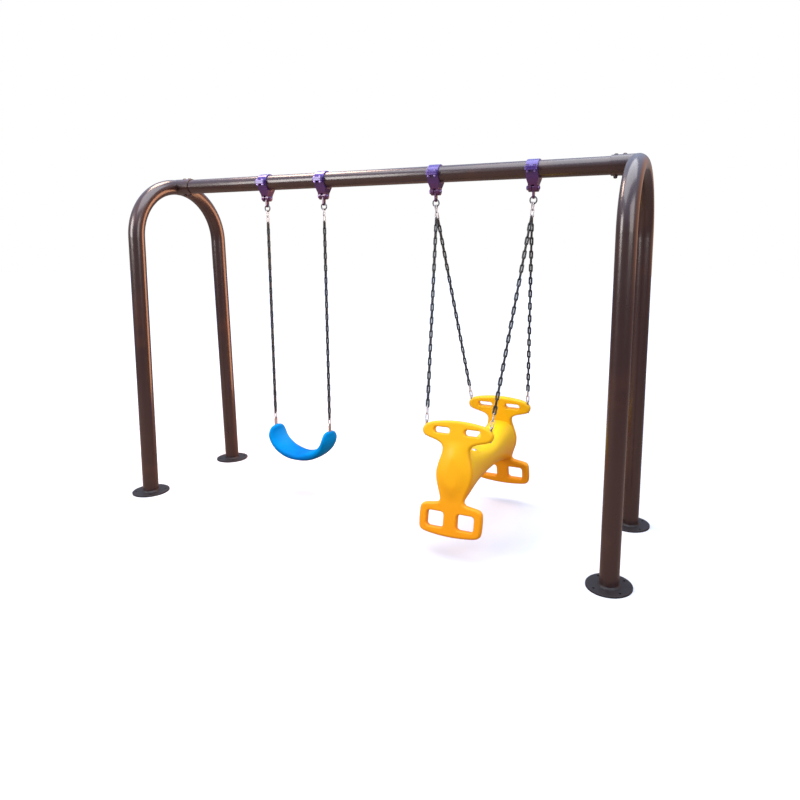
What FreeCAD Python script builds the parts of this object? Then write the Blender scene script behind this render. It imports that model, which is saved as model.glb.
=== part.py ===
import FreeCAD, Part
import math
import os

os.makedirs("parts", exist_ok=True)
V = FreeCAD.Vector

# All sizes are in mm. X runs along the beam, -Y is the front and Z is up from the ground.

# Arches: one bent tube each, with two legs that spread slightly towards the ground.
archX = 1704.0
archR = 54.0
archWall = 4.0
bendR = 394.0
legLean = math.radians(1.05)

# Beam and the sleeves that join it to the arches.
beamZ = 2275.0
beamR = 51.0
beamWall = 4.0
beamEnd = 1640.0
sleeveR = 57.2
sleeveBore = 51.05
sleeveTip = 1549.0
sleeveRoot = 1692.0
sleeveBoltX = (1574.0, 1622.0)
sleeveBoltR = 6.0
sleeveHoleR = 6.6

# Base flanges.
flangeR = 127.0
flangeT = 10.0
anchorPcd = 200.0
anchorR = 7.0
weldH = 9.0

# Hangers, listed from the left: two for the belt swing and two for the glider.
hangerX = (-855.5, -374.5, 469.0, 1104.0)
saddleR = 59.5
saddleHalf = 38.0
earY = 81.0
earT = 13.0
splitGap = 0.6
clampBoltX = 22.0
clampBoltY = 68.0
clampBoltR = 5.0
clampHoleR = 5.5
pivotDrop = 105.0
bossR = 23.0
bossHalf = 32.0
cheekHalf = 29.0
slotHalf = 9.2
pinR = 8.0
pinHoleR = 8.05
bushR = 12.5
hubR = 19.0
hubHalf = 8.4
tipHalf = 5.0
eyeDrop = 50.0
tipR = 14.0
eyeHoleR = 7.5

# Rings and chain. Links have one pitch; a coated link is thicker than a bare one.
ringMean = 20.5
ringWire = 4.5
linkPitch = 42.3
linkHalfWidth = 8.5
bareWire = 3.0
coatWire = 4.0
linkGap = 0.3
beltLinks = 36
beltBareTop = 2
beltBareBottom = 1
gliderLinks = 32
gliderBare = 2
ringSpread = 6.2
ringNear = 3.2

# Belt seat: a crescent between two half ellipses.
seatOuterA = 247.0
seatOuterB = 191.0
seatInnerA = 217.0
seatInnerB = 143.0
seatRise = 38.0
seatHalfY = 94.0
seatCornerR = 78.0
seatEdgeR = 13.0
eyePlateHalf = 2.5
eyePlateY = 15.0
eyePlateHoleR = 5.0
eyePlateSink = 44.0
eyePlateTail = 40.0

# Glider: two leaning end panels with a seat between them.
gliderX = 786.5
endY = 435.0
endZ = 450.0
endLean = math.radians(11.4)
plateHalf = 22.0
torsoHalf = 33.0
plateRimR = 13.0
torsoRimR = 12.0
holeRimR = 8.0
shellT = 6.0
jointHoleR = 30.0
eyeMean = 9.0
eyeWire = 4.0
eyeX = 207.0
eyeFlatZ = 768.0
eyeRise = 15.0
nutSeatZ = 716.0
nutRecessR = 11.5
handleSlotX = 98.0
handleSlotZ = 745.0
handleSlotW = 103.0
handleSlotH = 36.0
footHoleX = 96.0
footHoleZ = 232.0
footHoleW = 108.0
footHoleH = 92.0
footHoleR = 20.0
seatBoltX = 44.0
seatBoltY = 222.0
seatBoltZ = 594.0
seatBoltR = 5.0
seatHeadR = 17.0
# Half outline of an end panel, from the top of the handle to the bottom of the foot rest.
panelOutline = ((0, 806), (60, 804), (115, 798), (162, 790), (198, 776), (219, 755), (224, 733),
                (213, 711), (188, 698), (155, 689), (124, 680), (98, 666), (86, 644), (88, 614),
                (98, 580), (107, 548), (113, 515), (113, 485), (106, 445), (92, 405), (80, 370),
                (76, 348), (87, 333), (118, 326), (152, 321), (180, 313), (194, 295), (198, 262),
                (198, 225), (196, 190), (189, 167), (170, 154), (135, 147), (92, 142), (46, 139),
                (0, 138))
torsoOutline = ((0, 656), (38, 650), (56, 634), (66, 606), (78, 570), (88, 530), (92, 495),
                (87, 450), (73, 405), (60, 370), (42, 346), (0, 338))
# Sections of the seat: distance from the middle, half width, widest height, top and bottom.
seatSections = ((450, 107, 499, 630, 322), (330, 103, 503, 617, 352), (250, 100, 505, 603, 368),
                (120, 100, 506, 578, 384), (0, 101, 507, 568, 390))
sectionPower = 2.5


def save(name, shapes):
    """Writes one node, a single solid or a group of them."""
    solids = []
    for shape in shapes:
        solids.extend(shape.Solids)
    out = solids[0] if len(solids) == 1 else Part.makeCompound(solids)
    out.exportStep("parts/" + name + ".step")


def rod(radius, start, end):
    """A round bar from one point to another."""
    axis = end - start
    return Part.makeCylinder(radius, axis.Length, start, axis)


def box(x0, x1, y0, y1, z0, z1):
    return Part.makeBox(x1 - x0, y1 - y0, z1 - z0, V(x0, y0, z0))


def hexPrism(flats, height, base, axis):
    """A hexagonal prism with its flats this far apart."""
    points = []
    for i in range(7):
        turn = math.radians(60.0 * i)
        points.append(V(math.cos(turn), math.sin(turn), 0) * (flats / math.sqrt(3.0)))
    solid = Part.Face(Part.makePolygon(points)).extrude(V(0, 0, height))
    solid.Placement = FreeCAD.Placement(base, FreeCAD.Rotation(V(0, 0, 1), axis))
    return solid


def domeHead(radius, height, base, axis):
    """A low round bolt head, flat underneath and domed on top."""
    ball = (radius * radius + height * height) / (2.0 * height)
    head = Part.makeSphere(ball, V(0, 0, height - ball))
    head = head.common(Part.makeCylinder(radius + 1.0, height, V(0, 0, 0)))
    head.Placement = FreeCAD.Placement(base, FreeCAD.Rotation(V(0, 0, 1), axis))
    return head


def edgesWhere(shape, test):
    return [edge for edge in shape.Edges if test(edge)]


def prismX(points, half):
    """A solid with this outline in the YZ plane and this half width in X."""
    wire = Part.makePolygon([V(-half, y, z) for y, z in points + points[:1]])
    return Part.Face(wire).extrude(V(2.0 * half, 0, 0))


def prismY(points, half):
    """A solid with this outline in the XZ plane and this half width in Y."""
    wire = Part.makePolygon([V(x, -half, z) for x, z in points + points[:1]])
    return Part.Face(wire).extrude(V(0, 2.0 * half, 0))


# The arches.
bendZ = beamZ - bendR
bendEnd = math.pi / 2.0 - legLean
legTopY = bendR * math.sin(bendEnd)
legTopZ = bendZ + bendR * math.cos(bendEnd)
footY = legTopY + legTopZ * math.tan(legLean)


def archSolid(x, radius, bottom):
    """The bent bar of an arch, whose legs run down to this height."""
    lowY = footY - bottom * math.tan(legLean)
    left = Part.LineSegment(V(x, -lowY, bottom), V(x, -legTopY, legTopZ)).toShape()
    bend = Part.Arc(V(x, -legTopY, legTopZ), V(x, 0, beamZ), V(x, legTopY, legTopZ)).toShape()
    right = Part.LineSegment(V(x, legTopY, legTopZ), V(x, lowY, bottom)).toShape()
    lean = V(0, math.sin(legLean), math.cos(legLean))
    ring = Part.Wire(Part.makeCircle(radius, V(x, -lowY, bottom), lean))
    return Part.Wire([left, bend, right]).makePipeShell([ring], True, True)


def archTube(x):
    solid = archSolid(x, archR, -20.0).cut(archSolid(x, archR - archWall, -40.0))
    return solid.common(box(x - 100, x + 100, -700, 700, flangeT, beamZ + 100))


def flange(x, side, leg):
    """A round plate with four anchor holes and the weld around the leg."""
    y = side * footY
    plate = Part.makeCylinder(flangeR, flangeT, V(x, y, 0))
    rim = edgesWhere(plate, lambda e: e.BoundBox.ZMin > flangeT - 0.1)
    plate = plate.makeChamfer(1.5, rim)
    for i in range(4):
        turn = math.radians(45.0 + 90.0 * i)
        hole = V(x + anchorPcd / 2 * math.cos(turn), y + anchorPcd / 2 * math.sin(turn), -1)
        plate = plate.cut(Part.makeCylinder(anchorR, flangeT + 2, hole))
    weld = Part.makeCone(archR + weldH, archR + 0.5, weldH, V(x, y, flangeT))
    return plate.fuse(weld).cut(leg)


archCores = []
for name, side in (("left", -1), ("right", 1)):
    x = side * archX
    save("arch_" + name, [archTube(x)])
    core = archSolid(x, archR, -20.0)
    archCores.append(core)
    leg = core.common(box(x - 100, x + 100, -700, 700, flangeT, 200))
    save("flange_" + name + "_front", [flange(x, -1, leg)])
    save("flange_" + name + "_rear", [flange(x, 1, leg)])


# The beam, and the sleeves welded to the arches that it slides into.
beam = rod(beamR, V(-beamEnd, 0, beamZ), V(beamEnd, 0, beamZ))
beam = beam.cut(rod(beamR - beamWall, V(-beamEnd - 1, 0, beamZ), V(beamEnd + 1, 0, beamZ)))
sleeveBolts = []
sleeveNuts = []
for name, side, core in (("left", -1, archCores[0]), ("right", 1, archCores[1])):
    tip = V(side * sleeveTip, 0, beamZ)
    root = V(side * sleeveRoot, 0, beamZ)
    sleeve = rod(sleeveR, tip, root)
    lip = edgesWhere(sleeve, lambda e: abs(e.BoundBox.Center.x - tip.x) < 0.1 and e.Closed)
    sleeve = sleeve.makeChamfer(1.5, lip)
    sleeve = sleeve.cut(rod(sleeveBore, tip - V(side, 0, 0), root + V(side, 0, 0))).cut(core)
    for boltX in sleeveBoltX:
        low = V(side * boltX, 0, beamZ - 80)
        drill = rod(sleeveHoleR, low, low + V(0, 0, 160))
        sleeve = sleeve.cut(drill)
        beam = beam.cut(drill)
        top = V(side * boltX, 0, beamZ + sleeveR)
        bottom = V(side * boltX, 0, beamZ - sleeveR)
        bolt = rod(sleeveBoltR, bottom - V(0, 0, 15), top)
        sleeveBolts.append(bolt.fuse(domeHead(13.0, 7.5, top, V(0, 0, 1))))
        nut = hexPrism(19.0, 10.0, bottom - V(0, 0, 12.5), V(0, 0, 1))
        nut = nut.fuse(Part.makeCylinder(13.0, 2.5, bottom - V(0, 0, 2.5)))
        sleeveNuts.append(nut.cut(rod(sleeveBoltR + 0.05, bottom - V(0, 0, 20), top)))
    parts = sorted(sleeve.Solids, key=lambda s: abs(s.CenterOfMass.x))
    save("sleeve_" + name, [parts[0]])
save("beam", [beam])
save("sleeve_bolts", sleeveBolts)
save("sleeve_nuts", sleeveNuts)


# One hanger, built around the origin of the beam axis and then moved along the beam.
pivot = V(0, 0, -pivotDrop)


def clampHalf(top):
    """Half a saddle around the beam, with an ear for two bolts at the front and back."""
    sign = 1 if top else -1
    saddle = rod(saddleR, V(-saddleHalf, 0, 0), V(saddleHalf, 0, 0))
    rims = edgesWhere(saddle, lambda e: e.Closed)
    saddle = saddle.makeFillet(4.0, rims)
    z0, z1 = sorted((sign * splitGap, sign * earT))
    ears = box(-saddleHalf, saddleHalf, -earY, earY, z0, z1)
    corners = edgesWhere(ears, lambda e: e.BoundBox.XLength < 0.1 and e.BoundBox.YLength < 0.1)
    ears = ears.makeFillet(8.0, corners)
    face = edgesWhere(ears, lambda e: abs(e.BoundBox.Center.z - sign * earT) < 0.01)
    ears = ears.makeFillet(2.5, face)
    z0, z1 = sorted((sign * splitGap, sign * 100.0))
    half = saddle.common(box(-100, 100, -100, 100, z0, z1)).fuse(ears)
    return half


def boreAndDrill(shape):
    shape = shape.cut(rod(beamR + 0.05, V(-100, 0, 0), V(100, 0, 0)))
    for x in (-clampBoltX, clampBoltX):
        for y in (-clampBoltY, clampBoltY):
            shape = shape.cut(rod(clampHoleR, V(x, y, -50), V(x, y, 50)))
    return shape


def hangerBody():
    """The lower casting: half saddle, tapering yoke and two bosses around the pivot slot."""
    outline = [(-57, -8), (57, -8), (24, -96), (24, -pivotDrop), (-24, -pivotDrop), (-24, -96)]
    yoke = prismX(outline, saddleHalf)
    yoke = yoke.fuse(rod(24.0, V(-saddleHalf, 0, -pivotDrop), V(saddleHalf, 0, -pivotDrop)))
    wide = saddleHalf
    flank = [(-wide, 0), (wide, 0), (wide, -52), (cheekHalf, -84), (cheekHalf, -140),
             (-cheekHalf, -140), (-cheekHalf, -84), (-wide, -52)]
    yoke = yoke.common(prismY(flank, 100.0))
    body = clampHalf(False).fuse(yoke)
    boss = rod(bossR - 3.0, pivot - V(bossHalf, 0, 0), pivot + V(bossHalf, 0, 0))
    rims = edgesWhere(boss, lambda e: e.Closed)
    body = body.fuse(boss.makeFillet(2.0, rims)).removeSplitter()
    body = body.cut(box(-slotHalf, slotHalf, -100, 100, -200, -pivotDrop + 16))
    body = body.cut(rod(25.0, pivot - V(slotHalf, 0, 0), pivot + V(slotHalf, 0, 0)))
    body = body.cut(rod(pinHoleR, pivot - V(60, 0, 0), pivot + V(60, 0, 0)))
    return boreAndDrill(body)


def pendulum():
    """The swinging lug: a hub on the pivot pin and a thinner tongue with the ring's hole."""
    eye = pivot - V(0, 0, eyeDrop)
    hub = rod(hubR, pivot - V(hubHalf, 0, 0), pivot + V(hubHalf, 0, 0))
    hub = hub.makeFillet(1.5, edgesWhere(hub, lambda e: e.Closed))
    tongue = prismX([(-15, pivot.z), (15, pivot.z), (tipR, eye.z), (-tipR, eye.z)], tipHalf)
    tongue = tongue.fuse(rod(tipR, eye - V(tipHalf, 0, 0), eye + V(tipHalf, 0, 0)))
    lug = hub.fuse(tongue).removeSplitter()
    lug = lug.cut(rod(eyeHoleR, eye - V(20, 0, 0), eye + V(20, 0, 0)))
    return lug.cut(rod(bushR, pivot - V(20, 0, 0), pivot + V(20, 0, 0)))


def bush():
    sleeve = rod(bushR, pivot - V(hubHalf, 0, 0), pivot + V(hubHalf, 0, 0))
    return sleeve.cut(rod(pinHoleR, pivot - V(20, 0, 0), pivot + V(20, 0, 0)))


def pivotPin():
    pin = rod(pinR, pivot - V(bossHalf + 12, 0, 0), pivot + V(bossHalf, 0, 0))
    return pin.fuse(domeHead(13.5, 8.0, pivot + V(bossHalf, 0, 0), V(1, 0, 0)))


def pivotNut():
    nut = hexPrism(24.0, 10.0, pivot - V(bossHalf, 0, 0), V(-1, 0, 0))
    return nut.cut(rod(pinR + 0.05, pivot - V(70, 0, 0), pivot))


def clampBolt(x, y):
    bolt = rod(clampBoltR, V(x, y, -earT - 11), V(x, y, earT))
    return bolt.fuse(hexPrism(17.0, 7.0, V(x, y, earT), V(0, 0, 1)))


def clampNut(x, y):
    nut = hexPrism(17.0, 8.0, V(x, y, -earT), V(0, 0, -1))
    return nut.cut(rod(clampBoltR + 0.05, V(x, y, -40), V(x, y, 0)))


def movedTo(shape, x):
    copy = shape.copy()
    copy.translate(V(x, 0, beamZ))
    return copy


cap = boreAndDrill(clampHalf(True)).removeSplitter()
body = hangerBody()
lug = pendulum()
ringTop = beamZ - pivotDrop - eyeDrop
ringZ = ringTop - ringMean
clampBolts = []
clampNuts = []
pivotNuts = []
for number, x in enumerate(hangerX, 1):
    save("hanger_cap_%d" % number, [movedTo(cap, x)])
    save("hanger_body_%d" % number, [movedTo(body, x)])
    save("pendulum_%d" % number, [movedTo(lug, x)])
    save("pivot_bush_%d" % number, [movedTo(bush(), x)])
    save("pivot_pin_%d" % number, [movedTo(pivotPin(), x)])
    save("ring_%d" % number, [Part.makeTorus(ringMean, ringWire, V(x, 0, ringZ), V(0, 1, 0))])
    pivotNuts.append(movedTo(pivotNut(), x))
    for side in (-clampBoltX, clampBoltX):
        for end in (-clampBoltY, clampBoltY):
            clampBolts.append(movedTo(clampBolt(side, end), x))
            clampNuts.append(movedTo(clampNut(side, end), x))
save("hanger_bolts", clampBolts)
save("hanger_nuts", clampNuts)
save("pivot_nuts", pivotNuts)


# Chains. A link lies in its own XZ plane with its long axis along Z.
def makeLink(wire):
    half = (linkPitch + 2.0 * wire + linkGap) / 2.0
    straight = half - linkHalfWidth
    w = linkHalfWidth
    path = Part.Wire([
        Part.LineSegment(V(w, 0, 0), V(w, 0, straight)).toShape(),
        Part.Arc(V(w, 0, straight), V(0, 0, half), V(-w, 0, straight)).toShape(),
        Part.LineSegment(V(-w, 0, straight), V(-w, 0, -straight)).toShape(),
        Part.Arc(V(-w, 0, -straight), V(0, 0, -half), V(w, 0, -straight)).toShape(),
        Part.LineSegment(V(w, 0, -straight), V(w, 0, 0)).toShape()])
    ring = Part.Wire(Part.makeCircle(wire, V(w, 0, 0), V(0, 0, 1)))
    return path.makePipeShell([ring], True, True)


bareLink = makeLink(bareWire)
coatLink = makeLink(coatWire)
endHalf = (linkPitch + 2.0 * bareWire + linkGap) / 2.0


def chain(start, end, count, bareTop, bareBottom, topWire, bottomWire):
    """Links from the centre of the first to the centre of the last, split by finish.

    The first link is square to the wire it hangs from, and the last one faces bottomWire."""
    along = (end - start).normalize()
    bare = []
    coated = []
    for i in range(count):
        share = i / (count - 1.0)
        across = topWire * (1.0 - share) + bottomWire * share
        side = (across - along * across.dot(along)).normalize()
        wide = along.cross(side) if i % 2 == 0 else side
        turn = FreeCAD.Rotation(wide, along.cross(wide), along, "ZXY")
        isBare = i < bareTop or i >= count - bareBottom
        link = (bareLink if isBare else coatLink).copy()
        link.Placement = FreeCAD.Placement(start + (end - start) * share, turn)
        (bare if isBare else coated).append(link)
    return bare, coated


beltTopZ = ringZ - ringMean + ringWire + bareWire + linkGap - endHalf
beltEndZ = beltTopZ - linkPitch * (beltLinks - 1)
for name, x in (("left", hangerX[0]), ("right", hangerX[1])):
    bare, coated = chain(V(x, 0, beltTopZ), V(x, 0, beltEndZ), beltLinks,
                         beltBareTop, beltBareBottom, V(1, 0, 0), V(1, 0, 0))
    save("belt_chain_%s_bare" % name, bare)
    save("belt_chain_%s_coated" % name, coated)


# The belt seat and the eye plates moulded into its two ends.
seatX = (hangerX[0] + hangerX[1]) / 2.0
beltHalf = (hangerX[1] - hangerX[0]) / 2.0
beltEyeZ = beltEndZ - endHalf - eyePlateHoleR + bareWire + linkGap + 1.2
seatTopZ = beltEyeZ - eyePlateSink


def halfEllipse(a, b, z):
    """The lower half of an ellipse, closed by straight sides up to the seat's top."""
    arc = Part.Ellipse(V(0, 0, 0), a, b).toShape(math.pi, 2.0 * math.pi)
    arc.Placement = FreeCAD.Placement(V(seatX, -seatHalfY, z), FreeCAD.Rotation(V(1, 0, 0), 90))
    left = V(seatX - a, -seatHalfY, z)
    right = V(seatX + a, -seatHalfY, z)
    up = V(0, 0, seatRise + 60.0)
    edges = [arc, Part.LineSegment(right, right + up).toShape(),
             Part.LineSegment(right + up, left + up).toShape(),
             Part.LineSegment(left + up, left).toShape()]
    return Part.Face(Part.Wire(edges)).extrude(V(0, 2.0 * seatHalfY, 0))


def eyePlate(x):
    plate = box(x - eyePlateHalf, x + eyePlateHalf, -eyePlateY, eyePlateY,
                seatTopZ - eyePlateTail, beltEyeZ)
    plate = plate.fuse(rod(eyePlateY, V(x - eyePlateHalf, 0, beltEyeZ),
                           V(x + eyePlateHalf, 0, beltEyeZ)))
    return plate.cut(rod(eyePlateHoleR, V(x - 20, 0, beltEyeZ),
                         V(x + 20, 0, beltEyeZ))).removeSplitter()


springZ = seatTopZ - seatRise
belt = halfEllipse(seatOuterA, seatOuterB, springZ).cut(halfEllipse(seatInnerA, seatInnerB, springZ))
trim = box(seatX - 400, seatX + 400, -seatHalfY, seatHalfY, springZ - 400, seatTopZ)
corners = edgesWhere(trim, lambda e: e.BoundBox.YLength < 0.1 and e.BoundBox.ZLength < 0.1
                     and e.BoundBox.Center.z > seatTopZ - 1)
belt = belt.common(trim.makeFillet(seatCornerR, corners))
rims = edgesWhere(belt, lambda e: e.Length > 30.0)
belt = belt.makeFillet(seatEdgeR, rims)
plates = [eyePlate(seatX - beltHalf), eyePlate(seatX + beltHalf)]
save("belt_eyes", plates)
save("belt_seat", [belt.cut(plates[0]).cut(plates[1])])


# The glider. A panel is built upright around its own centre and then leaned into place.
def place(shape, side):
    """Leans a shape of the panel into the front (-1) or rear (1) end."""
    copy = shape.copy()
    lean = FreeCAD.Placement(V(gliderX, -endY, endZ), FreeCAD.Rotation(V(1, 0, 0), -math.degrees(endLean)))
    copy.Placement = lean.multiply(copy.Placement)
    if side > 0:
        copy.rotate(V(gliderX, 0, 0), V(0, 0, 1), 180)
    return copy


def up(z):
    """Height along the leaning panel for a height above the ground."""
    return (z - endZ) / math.cos(endLean)


def closedOutline(half):
    """Both halves of a symmetric outline, in the panel's own plane."""
    right = [(float(x), up(z)) for x, z in half]
    left = [(-x, z) for x, z in reversed(right[1:-1])]
    return right + left


def inset(points, depth):
    """The outline moved inwards by this depth."""
    count = len(points)
    moved = []
    for i, (x, z) in enumerate(points):
        dx = points[(i + 1) % count][0] - points[i - 1][0]
        dz = points[(i + 1) % count][1] - points[i - 1][1]
        length = math.hypot(dx, dz)
        moved.append((x + dz / length * depth, z - dx / length * depth))
    return moved


def smoothPrism(points, y0, y1):
    """A solid between two Y planes whose outline runs smoothly through the points."""
    curve = Part.BSplineCurve()
    curve.interpolate([V(x, y0, z) for x, z in points], PeriodicFlag=True)
    return Part.Face(Part.Wire(curve.toShape())).extrude(V(0, y1 - y0, 0))


def roundedBox(x, z, width, height, radius, half):
    hole = box(x - width / 2, x + width / 2, -half, half, z - height / 2, z + height / 2)
    corners = edgesWhere(hole, lambda e: e.BoundBox.YLength > 2 * half - 0.1)
    return hole.makeFillet(radius, corners)


def panelHoles(grow, half):
    """The two finger slots and the two foot holes, made larger all round by grow."""
    holes = []
    for side in (-1, 1):
        holes.append(roundedBox(side * handleSlotX, up(handleSlotZ), handleSlotW + 2 * grow,
                                handleSlotH + 2 * grow, handleSlotH / 2 + grow - 0.05, half))
        holes.append(roundedBox(side * footHoleX, up(footHoleZ), footHoleW + 2 * grow,
                                footHoleH + 2 * grow, footHoleR + grow, half))
    return holes


def panel():
    """One hollow end: handle, torso board and foot rest in a single moulding."""
    outline = closedOutline(panelOutline)
    torso = closedOutline(torsoOutline)
    plate = smoothPrism(outline, -plateHalf, plateHalf)
    plate = plate.makeFillet(plateRimR, edgesWhere(plate, lambda e: e.Closed))
    for hole in panelHoles(0.0, 60.0):
        plate = plate.cut(hole)
        reach = hole.BoundBox
        rims = edgesWhere(plate, lambda e: abs(e.BoundBox.Center.y) > plateHalf - 0.1
                          and reach.XMin - 1 < e.BoundBox.XMin and e.BoundBox.XMax < reach.XMax + 1
                          and reach.ZMin - 1 < e.BoundBox.ZMin and e.BoundBox.ZMax < reach.ZMax + 1)
        plate = plate.makeFillet(holeRimR, rims)
    board = smoothPrism(torso, -torsoHalf, 0.0)
    board = board.makeFillet(torsoRimR, edgesWhere(board, lambda e: e.Closed))
    shell = plate.fuse(board)
    cavity = smoothPrism(inset(outline, shellT), shellT - plateHalf, plateHalf - shellT)
    for hole in panelHoles(shellT, 60.0):
        cavity = cavity.cut(hole)
    inner = smoothPrism(inset(torso, 2.0 * shellT), shellT - torsoHalf, 0.0)
    shell = shell.cut(cavity.fuse(inner))
    shell = shell.cut(rod(jointHoleR, V(0, 0, up(490)), V(0, plateHalf + 5, up(490))))
    for x in (-eyeX, eyeX):
        pillar = rod(nutRecessR, V(x, 0, up(nutSeatZ) - 2), V(x, 0, up(eyeFlatZ) + 2))
        shell = shell.fuse(pillar)
        shell = shell.cut(rod(eyeWire + 0.4, V(x, 0, 100), V(x, 0, 500)))
        shell = shell.cut(rod(nutRecessR, V(x, 0, up(eyeFlatZ)), V(x, 0, up(eyeFlatZ) + 60)))
        shell = shell.cut(rod(nutRecessR, V(x, 0, up(nutSeatZ) - 60), V(x, 0, up(nutSeatZ))))
    return shell


def eyeBolt(x):
    low = up(eyeFlatZ)
    centre = V(x, 0, low + eyeRise)
    eye = Part.makeTorus(eyeMean, eyeWire, centre, V(1, 0, 0))
    shank = rod(eyeWire, V(x, 0, up(nutSeatZ) - 14), V(x, 0, low + eyeRise - eyeMean))
    return eye.fuse(shank).fuse(Part.makeCylinder(9.0, 2.5, V(x, 0, low)))


def eyeNut(x):
    base = V(x, 0, up(nutSeatZ))
    nut = hexPrism(13.0, 7.0, base - V(0, 0, 2.0), V(0, 0, -1))
    nut = nut.fuse(Part.makeCylinder(9.5, 2.0, base - V(0, 0, 2.0)))
    return nut.cut(rod(eyeWire + 0.05, base - V(0, 0, 30), base))


def seatLoft(shrink):
    """The seat's body through its sections, made smaller all round by shrink."""
    rows = list(seatSections) + [(-y, w, m, t, b) for y, w, m, t, b in reversed(seatSections[:-1])]
    wires = []
    for y, wide, middle, top, bottom in rows:
        points = []
        for i in range(24):
            turn = 2.0 * math.pi * i / 24.0
            c, s = math.cos(turn), math.sin(turn)
            reach = (top if s > 0 else middle) - (middle if s > 0 else bottom) - shrink
            x = math.copysign(abs(c) ** (2.0 / sectionPower), c) * (wide - shrink)
            z = math.copysign(abs(s) ** (2.0 / sectionPower), s) * reach
            points.append(V(gliderX + x, y, middle + z))
        curve = Part.BSplineCurve()
        curve.interpolate(points, PeriodicFlag=True)
        wires.append(Part.Wire(curve.toShape()))
    return Part.makeLoft(wires, True)


def seatBoltAt(side):
    return V(gliderX - side * seatBoltX, side * seatBoltY, seatBoltZ)


shell = panel()
save("glider_end_front", [place(shell, -1)])
save("glider_end_rear", [place(shell, 1)])
seat = seatLoft(0.0).cut(seatLoft(shellT))
outside = box(-400, 400, -600, plateHalf, -600, 600)
seatBolts = []
for side in (-1, 1):
    seat = seat.cut(place(outside, side))
    spot = seatBoltAt(side)
    seat = seat.fuse(rod(seatHeadR + 4, spot - V(0, 0, 24), spot))
    seat = seat.cut(rod(seatHeadR + 1, spot, spot + V(0, 0, 60)))
    seat = seat.cut(rod(seatBoltR + 0.3, spot - V(0, 0, 60), spot))
    bolt = rod(seatBoltR, spot - V(0, 0, 44), spot)
    seatBolts.append(bolt.fuse(domeHead(seatHeadR, 8.0, spot, V(0, 0, 1))))
save("glider_seat", [seat])
save("seat_bolts", seatBolts)

eyeBolts = []
eyeNuts = []
for side, end in ((-1, "front"), (1, "rear")):
    for hand, name in ((-1, "left"), (1, "right")):
        x = hand * eyeX if side < 0 else -hand * eyeX
        eyeBolts.append(place(eyeBolt(x), side))
        eyeNuts.append(place(eyeNut(x), side))
        loop = place(Part.Vertex(V(x, 0, up(eyeFlatZ) + eyeRise + eyeMean)), side).Point
        away = ringSpread if hand == side else ringNear
        spread = math.asin(away / ringMean)
        hook = V(hangerX[2 if hand < 0 else 3] - side * away, 0, ringZ - ringMean * math.cos(spread))
        along = (loop - hook).normalize()
        first = hook + along * (endHalf - ringWire - bareWire - linkGap)
        last = loop - along * (endHalf - eyeWire - bareWire - linkGap)
        wire = V(math.cos(spread), 0, -side * math.sin(spread))
        bare, coated = chain(first, last, gliderLinks, gliderBare, gliderBare, wire, V(1, 0, 0))
        save("glider_chain_%s_%s_bare" % (end, name), bare)
        save("glider_chain_%s_%s_coated" % (end, name), coated)
        print("glider chain pitch", end, name, (last - first).Length / (gliderLinks - 1))
save("eye_bolts", eyeBolts)
save("eye_nuts", eyeNuts)
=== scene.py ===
import math

import bpy
import numpy as np
from mathutils import Matrix, Vector


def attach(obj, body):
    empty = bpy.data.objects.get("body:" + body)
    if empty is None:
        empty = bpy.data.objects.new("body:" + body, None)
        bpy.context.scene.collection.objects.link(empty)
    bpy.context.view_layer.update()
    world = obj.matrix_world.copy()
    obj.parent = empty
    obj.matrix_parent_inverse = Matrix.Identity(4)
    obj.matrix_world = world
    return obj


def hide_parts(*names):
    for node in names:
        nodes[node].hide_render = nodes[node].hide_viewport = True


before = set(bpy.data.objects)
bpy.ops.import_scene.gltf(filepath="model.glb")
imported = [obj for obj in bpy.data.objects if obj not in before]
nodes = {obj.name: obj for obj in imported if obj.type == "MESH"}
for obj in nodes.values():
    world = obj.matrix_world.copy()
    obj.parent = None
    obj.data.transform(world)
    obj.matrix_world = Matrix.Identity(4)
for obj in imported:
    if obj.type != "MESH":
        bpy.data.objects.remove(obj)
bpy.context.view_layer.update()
scene = bpy.context.scene
print("frame loaded:", len(nodes), "pieces of the packed part")


# camera

cameraLook = {
    "place": (2.148, -3.643, 1.763),  # metres, a standing eye to the right of the set
    "yaw": -0.4025,  # radians from +Y, towards -X
    "pitch": 0.1554,  # downwards
    "roll": 0.0057,
    "lens": 27.85,  # millimetres, on a sensor this wide
    "sensor": 36.0,
    "farthest": 200.0,
    "shift": (-0.0672, -0.0574),
}


def makeCamera(look):
    # forward from yaw and pitch, right level with the ground, both then rolled
    yaw, pitch, roll = look["yaw"], look["pitch"], look["roll"]
    forward = Vector((math.sin(yaw) * math.cos(pitch), math.cos(yaw) * math.cos(pitch), -math.sin(pitch)))
    right = Vector((math.cos(yaw), -math.sin(yaw), 0.0))
    upward = right.cross(forward)
    rolledRight = right * math.cos(roll) + upward * math.sin(roll)
    rolledUp = upward * math.cos(roll) - right * math.sin(roll)
    lens = bpy.data.cameras.new("viewCamera")
    lens.lens, lens.sensor_width = look["lens"], look["sensor"]
    lens.shift_x, lens.shift_y = look["shift"]
    lens.clip_end = look["farthest"]
    holder = bpy.data.objects.new("viewCamera", lens)
    turn = Matrix((rolledRight, rolledUp, -forward)).transposed().to_4x4()
    holder.matrix_world = Matrix.Translation(look["place"]) @ turn
    scene.collection.objects.link(holder)
    scene.camera = holder


makeCamera(cameraLook)
print("camera set")


# shader maths

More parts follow.
